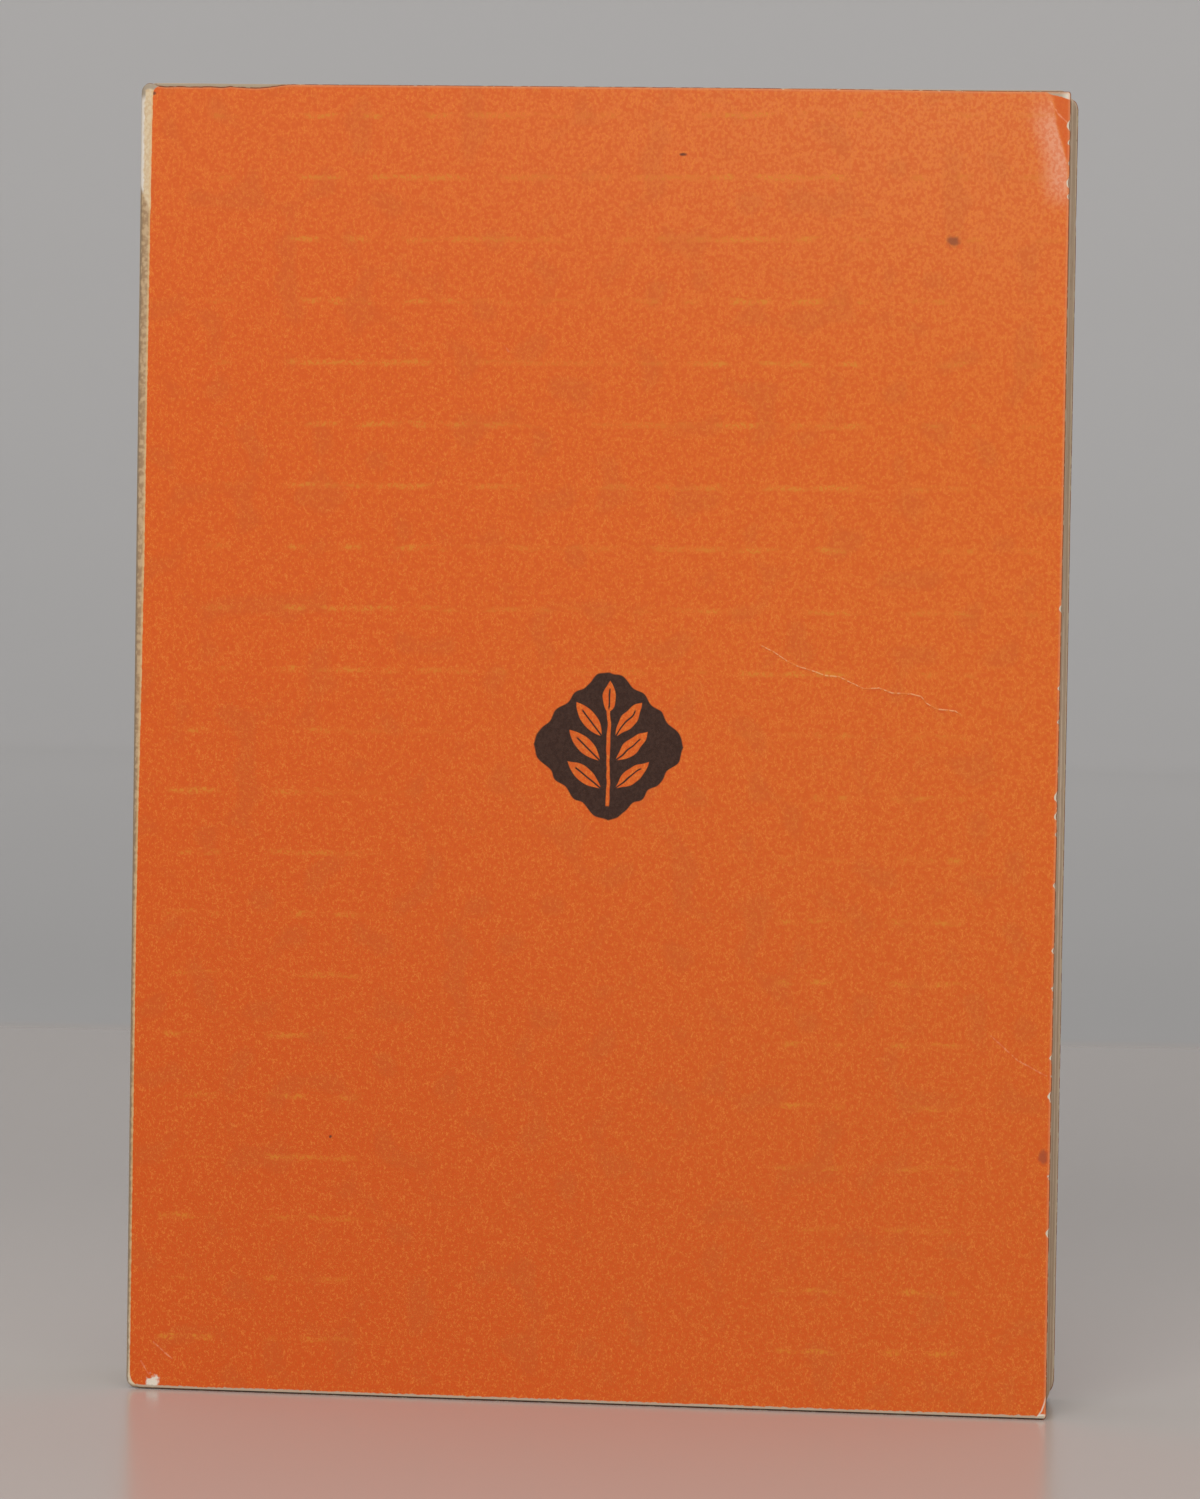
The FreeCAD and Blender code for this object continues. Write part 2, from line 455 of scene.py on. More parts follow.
def bare_strip(recipe, print_at, wobble, mottle):
    """Colour of the unprinted strip: warm next to the ink; at its rim, a painted highlight on the whiter,
    rough outer ply near the head and a painted dark shade line lower down, where the fold turns away.
    """
    near_head = recipe.soft(recipe.scaled(recipe.x, 2.2, recipe.z), 25.0, 26.2)
    stained = recipe.soft(wobble, -0.15, 0.15)
    fibrous = recipe.soft(mottle, 0.35, 0.65)
    fresh = recipe.mix(fibrous, (212, 192, 158), (202, 176, 140))
    aged = recipe.mix(stained, (190, 162, 126), (160, 130, 98))
    colour = recipe.mix(near_head, aged, fresh)
    colour = recipe.mix(recipe.soft(recipe.z, 4, 14, 0.8, 0.0), colour, (212, 200, 178))
    colour = recipe.mix(recipe.soft(print_at, -0.35, -0.08, 0.0, 0.5), colour, (222, 182, 122))
    at_corner = recipe.soft(recipe.z, 175.4, 176.6)
    # Painted light on the fold's rim: a whiter painted highlight near the head, over the whiter outer ply,
    # and a dark painted shade below, where the fold turns away; grey-tan at the corner.
    rim_highlight_and_shade = recipe.mix(near_head, (146, 126, 102), (228, 222, 212))
    rim_highlight_and_shade = recipe.mix(at_corner, rim_highlight_and_shade, (158, 145, 128))
    from_fold = recipe.scaled(wobble, -0.5, recipe.less(recipe.x, spine_x - 0.05))
    outer = recipe.math("MINIMUM", from_fold, recipe.value("rim_mm"))
    outer = recipe.scaled(at_corner, -0.15, outer)
    outer = recipe.scaled(near_head, -0.18, outer)
    return recipe.mix(recipe.soft(outer, 0.28, 0.6, 0.9, 0.0), colour, rim_highlight_and_shade)


def make_printed_card(name, add_marks=None):
    """Printed card with its bare strip at the fold and ink rubbed off along the edges.

    add_marks takes the recipe, the colour and height so far, a wobble and the mottling, and returns
    the new colour and height in millimetres.
    """
    recipe = Recipe(name)
    colour, mottle, thread, fleck = orange_print(recipe)
    height = recipe.product(thread, 0.01)
    wobble = recipe.less(recipe.noise(1.7, 1.0), 0.5)
    if add_marks is not None:
        colour, height = add_marks(recipe, colour, height, wobble, mottle)
    colour = rim_wear_and_shade(recipe, colour, wobble)
    print_at = recipe.scaled(wobble, 0.16, recipe.value("print_mm"))
    strip = bare_strip(recipe, print_at, wobble, mottle)
    colour = recipe.mix(recipe.soft(print_at, -0.05, 0.08), strip, colour)
    rough = recipe.soft(fleck, 0.0, 1.0, 0.5, 0.62)
    return recipe.finish(colour, rough, recipe.relief(height), Specular_IOR_Level=0.18)


printed_back = make_printed_card("printed_back")

# %% [markdown]
# ## Marks of the front cover
# A mark is a mask with a place. A crease is the distance from a line between two places, a stain or a
# chip is the distance from a point measured in the mark's own half sizes, and a tear is the side of a
# slanted line. Each mask gets some noise, so that no mark has a drawn edge. Faint dashes come from the
# distance to the nearest of many rows, and a table and noise along the row break it up.

# %% Creases, stains, chips and rows of dashes


def line_distance(recipe, start, end):
    """Distance in millimetres from the line between two (x, z) places, in the plane of the cover."""
    span = (end[0] - start[0], 0, end[1] - start[1])
    squared = span[0] ** 2 + span[2] ** 2
    flat = recipe.vector("MULTIPLY", recipe.place, (1, 0, 1))
    offset = recipe.vector("SUBTRACT", flat, (start[0], 0, start[1]))
    share = recipe.math("DIVIDE", recipe.vector("DOT_PRODUCT", offset, span), squared)
    share = recipe.math("MINIMUM", recipe.math("MAXIMUM", share, 0.0), 1.0)
    foot = recipe.vector("SCALE", span, scale=share)
    return recipe.vector("LENGTH", recipe.vector("SUBTRACT", offset, foot))


def crease_mask(recipe, places, half_width, wobble):
    """1 on a line through several places, 0 past its half width, with a distance that noise disturbs."""
    nearest = None
    for start, end in zip(places, places[1:]):
        distance = line_distance(recipe, start, end)
        nearest = distance if nearest is None else recipe.math("MINIMUM", nearest, distance)
    nearest = recipe.math("ADD", nearest, wobble)
    return recipe.fade(nearest, 0.0, half_width)


def patch_mask(recipe, place, half_size, wobble, crisp=0.35):
    """1 inside an ellipse at an (x, z) place, 0 outside: distance in half sizes, disturbed by noise."""
    offset = recipe.vector("SUBTRACT", recipe.place, (place[0], 0, place[1]))
    scaled = recipe.vector("MULTIPLY", offset, (1 / half_size[0], 0, 1 / half_size[1]))
    distance = recipe.math("ADD", recipe.vector("LENGTH", scaled), wobble)
    return recipe.fade(distance, 1 - crisp, 1 + crisp)


def strongest(recipe, masks):
    """The highest of several masks."""
    highest = masks[0]
    for mask in masks[1:]:
        highest = recipe.math("MAXIMUM", highest, mask)
    return highest


dash_spacing = 8.31
dash_first = 7.93
dash_slope = 0.01
upper_dashes = [
    (-54, 0), (-52.5, 0.5), (-50.5, 0.5), (-49, 0), (-43, 0), (-41.5, 0.9), (-24, 0.9), (-12, 0.6),
    (-3, 0.35), (6, 0.6), (14, 0.6), (17, 1), (35, 1), (37, 0), (41, 0), (43, 0.7), (51, 0.7), (52, 0),
    (55, 0), (57, 0.5), (61, 0.4),
]
lower_dashes = [
    (-59, 0), (-57.8, 1), (-51.5, 1), (-50.5, 0), (-44.5, 0), (-43, 0.8), (-33, 0.7), (-31, 0.2), (-18, 0),
    (25, 0), (26.5, 0.9), (34, 0.9), (35.5, 0), (40, 0), (41.5, 0.8), (50, 1), (51, 0),
]
wrinkle = [
    (22.53, 103.46), (24.44, 102.55), (26.22, 101.37), (27.59, 100.72), (30.17, 99.96), (31.4, 99.51),
    (33.29, 99.35), (35.06, 98.57), (36.69, 97.8), (38.72, 97.97), (40.48, 97.33), (43.04, 97.25),
    (44.4, 96.94), (45.08, 96.08), (46.44, 95.3), (49.0, 95.08), (49.96, 94.42),
]
corner_creases = [
    [(60.2, 176.4), (61.2, 174.9), (62.9, 173.3)],
    [(-60.8, 3.8), (-59.7, 2.0)],
    [(-59.1, 6.5), (-57.6, 5.2), (-56.5, 4.3)],
]
scratches = [
    [(54.6, 51.6), (58.2, 48.4), (62.1, 46.4)],
    [(-12.7, 143.2), (-12.1, 142.3)],
]
edge_chips = [
    (173.3, 0.42, 0.8), (171.0, 0.3, 0.45), (168.3, 0.2, 0.4), (165.7, 0.36, 0.8), (163.9, 0.24, 0.5),
    (109.0, 0.3, 0.5), (98.4, 0.26, 0.4), (93.9, 0.24, 0.4), (83.8, 0.4, 0.8), (81.2, 0.36, 0.6),
    (78.8, 0.26, 0.4), (72.0, 0.34, 0.5), (63.2, 0.3, 0.5), (58.2, 0.24, 0.4), (48.8, 0.32, 0.5),
    (43.7, 0.42, 0.7), (32.9, 0.3, 0.4), (25.2, 0.36, 0.7),
]
dark_spots = [
    ((47.6, 157.8), (0.75, 0.7), (140, 76, 44)),
    ((61.9, 35.5), (0.6, 0.9), (160, 74, 42)),
    ((11.1, 169.0), (0.45, 0.2), (80, 42, 30)),
    ((-35.0, 35.4), (0.2, 0.22), (80, 44, 30)),
    ((-61.2, 176.6), (0.4, 0.22), (104, 58, 38)),
]
torn_corner = [(58.4, 178.1), (59.32, 177.73), (60.26, 177.41), (62.0, 176.95), (63.0, 176.6)]
worn_tail_corner = [(0.0, 61.3), (0.5, 61.8), (1.2, 62.3), (2.2, 62.65), (3.4, 62.95)]
bent_corner = [(162.0, 63.0), (168.3, 62.6), (171.0, 61.8), (173.0, 61.2), (177.0, 60.5)]


def dash_rows(recipe, wobble, mottle):
    """Faint rows: near each row's height, mottled, and only as strong as the table for that part says."""
    straight = recipe.scaled(recipe.x, -dash_slope, recipe.less(recipe.z, dash_first))
    turns = recipe.math("PINGPONG", recipe.math("DIVIDE", straight, dash_spacing), 0.5)
    from_row = recipe.scaled(turns, dash_spacing, recipe.product(wobble, 0.9))
    row = recipe.fade(from_row, 0.1, 0.62)
    is_upper = recipe.soft(recipe.z, 86, 104)
    upper = recipe.product(recipe.line(recipe.x, upper_dashes), is_upper)
    lower = recipe.product(recipe.line(recipe.x, lower_dashes), recipe.less(1.0, is_upper))
    uneven = recipe.soft(recipe.noise(0.3, 0.0, (1, 1, 2.0)), 0.4, 0.62, 0.05, 1.0)
    mottled = recipe.soft(mottle, 0.42, 0.6, 0.1, 1.0)
    return recipe.product(row, recipe.math("ADD", upper, lower), uneven, mottled)


def bent_corner_painted_sheen(recipe, colour, mottle):
    """Head corner that was bent once: a painted pink sheen left of the bend, where the bent card catches the
    light, and stronger orange right of it.
    """
    inside = recipe.less(recipe.line(recipe.z, bent_corner), recipe.x)
    low_down = recipe.soft(recipe.z, 161.5, 166.0)
    beside = recipe.product(recipe.soft(inside, -0.1, 0.3), recipe.fade(inside, 0.6, 4.4))
    along = recipe.product(low_down, recipe.soft(recipe.z, 172.5, 177.5, 1.0, 0.15))
    mottled = recipe.soft(mottle, 0.4, 0.62, 1.0, 0.55)
    # Painted highlight: the pink sheen of the bent corner.
    colour = recipe.mix(recipe.product(beside, along, mottled, 0.78), colour, (226, 158, 126))
    outside = recipe.product(recipe.soft(inside, -0.3, 0.05, 0.7, 0.0), recipe.soft(recipe.z, 166.0, 169.0))
    return recipe.mix(outside, colour, (206, 88, 26))


def wrinkle_marks(recipe, colour, height, mottle):
    """Wrinkle right of the ornament: a thin broken raised ridge, with a painted highlight on top and a
    painted shadow under it.
    """
    above = recipe.less(recipe.z, recipe.line(recipe.x, wrinkle))
    within = recipe.product(recipe.soft(recipe.x, 22.4, 22.8), recipe.fade(recipe.x, 49.6, 50.0))
    ridge = recipe.product(within, recipe.fade(recipe.math("ABSOLUTE", above), 0.03, 0.15))
    broken = recipe.soft(mottle, 0.42, 0.58, 0.1, 0.7)
    # Painted shadow under the ridge; the pale colour on line 615 is a painted highlight on its top.
    side = recipe.soft(recipe.math("ABSOLUTE", recipe.math("ADD", above, 0.26)), 0.03, 0.2, 0.45, 0.0)
    colour = recipe.mix(recipe.product(within, side, broken), colour, (190, 74, 22))
    colour = recipe.mix(recipe.product(ridge, broken), colour, (238, 172, 118))
    return colour, recipe.scaled(ridge, 0.04, height)


def front_marks(recipe, colour, height, wobble, mottle):
    """The front cover's own marks, from the broad ones to the small ones, with the painted sheen of the bent
    corner and the painted light on the wrinkle.
    """
    colour = bent_corner_painted_sheen(recipe, colour, mottle)
    colour, height = wrinkle_marks(recipe, colour, height, mottle)
    thin = recipe.product(wobble, 0.3)
    crease = strongest(recipe, [crease_mask(recipe, places, 0.14, thin) for places in corner_creases])
    scratch = strongest(recipe, [crease_mask(recipe, places, 0.13, thin) for places in scratches])
    pale = strongest(recipe, [recipe.product(crease, 0.5), recipe.product(scratch, 0.45)])
    pale = recipe.product(pale, recipe.soft(mottle, 0.4, 0.6, 1.0, 0.4))
    colour = recipe.mix(pale, colour, (236, 160, 122))
    for place, half_size, tone in dark_spots:
        spot = patch_mask(recipe, place, half_size, wobble, 0.5)
        colour = recipe.mix(recipe.product(spot, 0.85), colour, tone)
    chips = [patch_mask(recipe, (-59.1, 1.1), (0.8, 0.8), recipe.product(wobble, 1.8))]
    past_worn = recipe.less(recipe.x, recipe.line(recipe.z, worn_tail_corner))
    worn_line = recipe.soft(recipe.math("ABSOLUTE", past_worn), 0.04, 0.16, 0.8, 0.0)
    chips.append(recipe.product(worn_line, recipe.fade(recipe.z, 3.0, 3.6)))
    chips.append(recipe.product(recipe.soft(past_worn, -0.05, 0.05), recipe.fade(recipe.z, 0.7, 0.9)))
    torn_at = recipe.less(recipe.z, recipe.line(recipe.x, torn_corner))
    chips.append(recipe.soft(recipe.scaled(wobble, 0.35, torn_at), -0.05, 0.08))
    to_tip = recipe.math("MAXIMUM", recipe.soft(recipe.x, 61.4, 62.6), recipe.soft(recipe.z, 176.0, 170.0))
    core = recipe.mix(to_tip, (172, 158, 136), (220, 210, 192))
    return recipe.mix(strongest(recipe, chips), colour, core), height


# %% [markdown]
# ## A small ornament
# A small dark ornament is printed in the middle of the cover: a soft lozenge with a leafy sprig left
# open in it, so that the orange shows through. A picture would blur close to, so it is drawn by
# formula. The lozenge is where |u|^p + |v|^p stays under 1, and each leaf is where the distance from
# its middle line is less than w (1 - (along / half length)^2), which gives two pointed ends.

# %% Lozenge with a sprig
ornament_place = (2.3, 89.4)
ornament_half = (10.4, 10.2)
ornament_power = 1.22
sprig_leaves = [
    (3.3, -3.9, 52.0, 2.9, 1.0), (3.2, 0.0, 46.0, 2.9, 1.0), (2.7, 3.6, 38.0, 2.9, 1.0),
    (0.0, 6.6, 0.0, 2.3, 0.9),
]


def pointed_leaf(recipe, u, v, at_u, at_v, tilt, half_length, half_width):
    """Mask of a leaf and its midrib: along and across are u and v turned by the leaf's tilt."""
    turn = math.radians(tilt)
    from_u = recipe.less(u, at_u)
    from_v = recipe.less(v, at_v)
    along = recipe.scaled(from_u, math.sin(turn), recipe.product(from_v, math.cos(turn)))
    across = recipe.scaled(from_u, math.cos(turn), recipe.product(from_v, -math.sin(turn)))
    share = recipe.math("DIVIDE", along, half_length)
    width = recipe.scaled(recipe.product(share, share), -half_width, half_width)
    inside = recipe.soft(recipe.less(width, recipe.math("ABSOLUTE", across)), -0.07, 0.07)
    rib = recipe.soft(recipe.math("ABSOLUTE", across), 0.06, 0.17)
    short_rib = recipe.math("MAXIMUM", rib, recipe.soft(share, 0.45, 0.6))
    return recipe.product(inside, short_rib)


def ornament_mask(recipe):
    """1 where the dark ink lies: inside the rippled lozenge, outside the stem and the leaves.

    The leaves are drawn over |u|, so that each stands on both sides of the stem.
    """
    shake = recipe.scaled(recipe.noise(0.6, 0.0), 0.4, -0.2)
    u = recipe.math("ADD", recipe.less(recipe.x, ornament_place[0]), shake)
    v = recipe.less(recipe.less(recipe.z, ornament_place[1]), shake)
    wide = recipe.math("ABSOLUTE", u)
    high = recipe.math("ABSOLUTE", v)
    powers = [
        recipe.math("POWER", recipe.math("DIVIDE", away, half), ornament_power)
        for away, half in zip((wide, high), ornament_half)
    ]
    around = recipe.math("ARCTAN2", v, u)
    ripple = recipe.product(recipe.math("COSINE", recipe.product(around, 16.0)), 0.03)
    lozenge = recipe.fade(recipe.math("ADD", recipe.math("ADD", *powers), ripple), 0.985, 1.015)
    open_parts = [pointed_leaf(recipe, wide, v, *leaf) for leaf in sprig_leaves]
    stem = [recipe.fade(wide, 0.14, 0.3), recipe.soft(v, -8.3, -8.0), recipe.fade(v, 4.6, 5.4)]
    open_parts.append(recipe.product(*stem))
    return recipe.product(lozenge, recipe.less(1.0, strongest(recipe, open_parts)))


def front_face(recipe, colour, height, wobble, mottle):
    """Rows of dashes first, the ornament printed over them, and then the marks of wear."""
    dashes = recipe.product(dash_rows(recipe, wobble, mottle), 0.62)
    colour = recipe.mix(dashes, colour, (212, 140, 44))
    ink = recipe.mix(recipe.soft(mottle, 0.35, 0.65), (32, 22, 17), (46, 33, 25))
    colour = recipe.mix(recipe.product(ornament_mask(recipe), 0.97), colour, ink)
    return front_marks(recipe, colour, height, wobble, mottle)


printed_front = make_printed_card("printed_front", front_face)

# %% [markdown]
# ## The cover
# The cover is one sheet: front panel, fold, spine, fold, back panel. It could be a box with bevels,
# but then the folds would not carry the print round. So each half is a sheet wrapped along a path:
# a quarter circle at the fold and a straight run to the fore-edge. Its outline is set by functions of
# the distance along that path: round corners, slow wander and small bites. The outer and inner faces
# are two grids with the same numbering, and a rounded rim joins them.

# %% A half cover as a wrapped sheet
edge_reach = 12.0


def wrap(distance, side):
    """Plan of the outer face at a distance from the spine panel: x, y and the outward direction.

    Up to the arc's length the angle is distance / radius, and past it the face runs straight.
    side is -1 for the front and +1 for the back.
    """
    angle = np.clip(distance / fold_radius, 0, math.pi / 2)
    straight = np.maximum(distance - fold_arc, 0)
    x = spine_x + fold_radius * (1 - np.cos(angle)) + straight
    y = side * (half_thickness - fold_radius * (1 - np.sin(angle)))
    return x, y, -np.cos(angle), side * np.sin(angle)


def sheet_grid(distance, share, side, outline, inset, sink):
    """Points of one face of the sheet, as an array of (share, distance, xyz).

    outline gives the tail, head and fore-edge lines. share runs from the tail line, 0, to the head
    line, 1. inset pulls the outline in, and sink moves the face against its outward direction. The
    fore-edge line shifts only the columns within edge_reach of it, less and less away from it.
    """
    x, y, out_x, out_y = wrap(distance, side)
    tail = outline["tail"](x) + inset
    head = outline["head"](x) - inset
    z = tail + share[:, None] * (head - tail)
    near_edge = ease(x, fore_x - edge_reach, fore_x)
    shift = near_edge * (outline["fore"](z) + inset)
    depth = sink(x, z)
    return np.stack([x - shift - out_x * depth, y - out_y * depth, z], -1)


def make_half_cover(name, side, outline, sink, print_edge, material, density):
    """Closed half cover from spine panel to fore-edge, with its print and rim distances."""
    columns_at, rows_at = density
    distance = spread(0, fold_arc + fore_x - fold_x, *columns_at)
    share = spread(0, 1, *rows_at)
    rim_round = card / 4
    outer = sheet_grid(distance, share, side, outline, rim_round, sink)
    middle = sheet_grid(distance, share, side, outline, 0, lambda x, z: sink(x, z) + card / 2)
    inner = sheet_grid(distance, share, side, outline, rim_round, lambda x, z: sink(x, z) + card)
    rows, columns = outer.shape[:2]
    number = np.arange(rows * columns).reshape(rows, columns)
    chain = np.concatenate([number[0, :], number[1:, -1], number[-1, -2::-1]])
    size = rows * columns
    middle_points = middle.reshape(-1, 3)[chain]
    middle_chain = 2 * size + np.arange(len(chain))
    points = np.concatenate([outer.reshape(-1, 3), inner.reshape(-1, 3), middle_points])
    rim = np.concatenate([band_faces(chain, middle_chain), band_faces(middle_chain, chain + size)])
    seam = band_faces(number[:, 0], number[:, 0] + size)
    seam_ends = [(chain[end], middle_chain[end], chain[end] + size) for end in (0, -1)]
    groups = [
        (grid_faces(rows, columns), material),
        (grid_faces(rows, columns, size), inside_card),
        (rim, card_edge),
        (seam, spine_card),
        (seam_ends, spine_card),
    ]
    x, z = points[:, 0], points[:, 2]
    to_edge = np.minimum(z - outline["tail"](x) + 0.1, outline["head"](x) - z)
    to_edge = np.minimum(to_edge, fore_x - outline["fore"](z) - x)
    values = {"rim_mm": to_edge, "print_mm": x - print_edge(z), "chip_mm": outline["chips"](z)}
    return make_piece(name, points, groups, values)


# %% [markdown]
# ### Outline of the front cover
# The photograph shows its fold corners rubbed round, its head edge rubbed down beside the fold in one
# long dip, and a fore-edge that swings in and out by a fifth of a millimetre. The bare strip at the
# fold narrows from 1.7 mm at the head to 0.6 mm at the tail.

# %% Front cover
fold_corner = 1.4
front_head_corner = 0.35
front_tail_corner = 0.6
head_dip = [
    (-61.6, 0.0), (-60.6, 0.3), (-59.6, 0.42), (-57.6, 0.36), (-56.0, 0.42), (-53.4, 0.36), (-51.8, 0.46),
    (-50.6, 0.3), (-49.0, 0.42), (-47.0, 0.5), (-45.4, 0.36), (-43.6, 0.08), (-42.4, 0.0),
]


def worn_corners(x, fore_corner):
    """Drop of a head or tail edge at its two round corners, the fold's and the fore-edge's."""
    at_fold = corner_drop(spine_x + fold_corner - x, fold_corner)
    return at_fold + corner_drop(x - fore_x + fore_corner, fore_corner)


def front_head_line(x):
    """Head edge: round corners, the dip beside the fold from its table of depths, and small bites."""
    corners = worn_corners(x, front_head_corner)
    dip_x, dip_depth = np.transpose(head_dip)
    dip = np.interp(x, dip_x, dip_depth)
    low_end = 0.01 + 0.16 * ease(x, 10, fore_x)
    return book_height - low_end - corners - dip - bites(x, 0.16, 0.8, 21) - 0.02 - wander(x, 0.02, 30, 2, 22)


def front_tail_line(x):
    """Tail edge: round corners, a rise of 0.2 mm over the last 13 mm to the fold, and small bites."""
    rise = 0.2 * ease(spine_x + 14 - x, 0, 13)
    return worn_corners(x, front_tail_corner) + rise + bites(x, 0.06, 0.8, 23)


def chip_depth(z):
    """Depth of the chips along the fore-edge: width (1 - (distance / half height)^2) around each place."""
    place, width, half_height = np.transpose(edge_chips)
    share = (np.asarray(z)[..., None] - place) / half_height
    return np.clip(width * (1 - share ** 2), 0, None).max(-1)


def front_fore_line(z):
    """How far the fore-edge lies inside its straight line: slow swing, and part of each chip."""
    swing = 0.12 - 0.12 * np.sin(2 * np.pi * (z - 85) / 205) - 0.16 * np.clip(1 - z / 150, 0, 1)
    return swing + 0.02 + wander(z, 0.02, 14, 1.5, 24) + 0.35 * chip_depth(z)


def front_print_edge(z):
    """X of the line where the orange starts, on a strip that is wider towards the head.

    The width is 0.6 + 0.42 s + 0.33 s^4 for a share s of the height, and a smooth step of 0.38.
    """
    share = z / book_height
    width = 0.6 + 0.42 * share + 0.33 * share ** 4 + 0.38 * ease(z, 60, 120)
    corners = corner_drop(2.3 - z, 2.2) + corner_drop(z - book_height + 1.5, 1.1)
    return spine_x + width + corners + wander(z, 0.03, 20, 3, 26)


def front_sink(x, z):
    """The panel is a little wavy, within the space between the frame's box and the first leaf."""
    return 0.04 + wander(x, 0.02, 90, 25, 27) + wander(z + 0.3 * x, 0.02, 120, 30, 28)


front_outline = {
    "tail": front_tail_line, "head": front_head_line, "fore": front_fore_line, "chips": chip_depth,
}
cover_columns = (160, [(0, 1.2, 12), (fold_arc + fore_x - fold_x, 2.0, 9), (11.0, 9.0, 2)])
chip_rows = [(z / book_height, 0.002, 8) for z, _, _ in edge_chips]
cover_rows = (280, [(0, 0.012, 8), (1, 0.012, 8)] + chip_rows)
front_cover = make_half_cover("front_cover_card", -1, front_outline, front_sink, front_print_edge,
                              printed_front, (cover_columns, cover_rows))

# %% [markdown]
# ### Back cover
# It doesn't show in the photograph, so it is finished plainly, in the same card and the same orange.
# Its fore corners were rubbed off together with those of the leaves.

# %% Back cover
leaf_head_corner = 1.4
leaf_tail_corner = 2.6


def back_head_line(x):
    """Head edge: the height less its round corners and small bites."""
    return book_height - worn_corners(x, leaf_head_corner) - bites(x, 0.2, 0.9, 31)


def back_tail_line(x):
    """Tail edge: round corners and small bites."""
    return worn_corners(x, leaf_tail_corner) + bites(x, 0.15, 0.8, 33)


def back_fore_line(z):
    """How far the fore-edge lies inside its straight line: a slow wander and small bites."""
    return 0.03 + wander(z, 0.03, 60, 2, 34) + bites(z, 0.2, 0.7, 35)


def back_print_edge(z):
    """X of the line where the orange starts: 0.8 mm from the spine, with a slow wander."""
    return spine_x + 0.8 + wander(z, 0.05, 60, 3, 36)


def back_sink(x, z):
    """Slow waves of the panel, as on the front cover, with its own seeds."""
    return 0.04 + wander(x, 0.02, 90, 25, 37) + wander(z - 0.3 * x, 0.02, 120, 30, 38)


back_outline = {
    "tail": back_tail_line, "head": back_head_line, "fore": back_fore_line, "chips": np.zeros_like,
}
plain_columns = (120, [(0, 1.2, 12), (fold_arc + fore_x - fold_x, 2.0, 9)])
plain_rows = (150, [(0, 0.012, 8), (1, 0.012, 8)])
back_cover = make_half_cover("back_cover_card", 1, back_outline, back_sink, back_print_edge,
                             printed_back, (plain_columns, plain_rows))

# %% [markdown]
# ### Spine panel
# The flat of the spine lies between the two folds and is bare card. It is a closed slab of the same
# card, whose ends meet the half covers without a step.

# %% Spine panel


def make_spine_panel(name):
    """Slab between the folds: a grid over depth and height, doubled by the card's thickness."""
    depth_limit = half_thickness - fold_radius
    across = np.linspace(-depth_limit, depth_limit, 40)
    share = spread(0, 1, *plain_rows)
    blend_in = ease(depth_limit - np.abs(across), 0, 1.5)
    tail = fold_corner + blend_in * (0.1 + wander(across, 0.1, 12, 1.5, 41))
    head = book_height - fold_corner - blend_in * (0.1 - wander(across, 0.1, 12, 1.5, 42))
    z = tail + share[:, None] * (head - tail)
    y = np.broadcast_to(across, z.shape)
    faces_x = [np.full(z.shape, spine_x), np.full(z.shape, spine_x + card)]
    grids = [np.stack([x, y, z], -1).reshape(-1, 3) for x in faces_x]
    rows, columns = z.shape
    number = np.arange(rows * columns).reshape(rows, columns)
    loop = np.concatenate([number[0, :], number[1:, -1], number[-1, -2::-1], number[-2::-1, 0]])
    size = rows * columns
    groups = [
        (grid_faces(rows, columns), spine_card),
        (grid_faces(rows, columns, size), inside_card),
        (band_faces(loop, loop + size), spine_card),
    ]
    points = np.concatenate(grids)
    return make_piece(name, points, groups, {})


spine_panel = make_spine_panel("spine_panel")

# %% [markdown]
# ## The block of leaves
# Some 150 leaves, gathered in 13 sections, trimmed together on three sides. Seen from a step away,
# the trimmed sides are fine ridges with a darker line between sections. So the outline of one leaf,
# seen from the front, is carried through the thickness of the block, and at each depth it is pushed
# in by a little: by the groove between two sections, by the rounded edge of each leaf and by how far
# that leaf happens to stand back.

# %% Paper


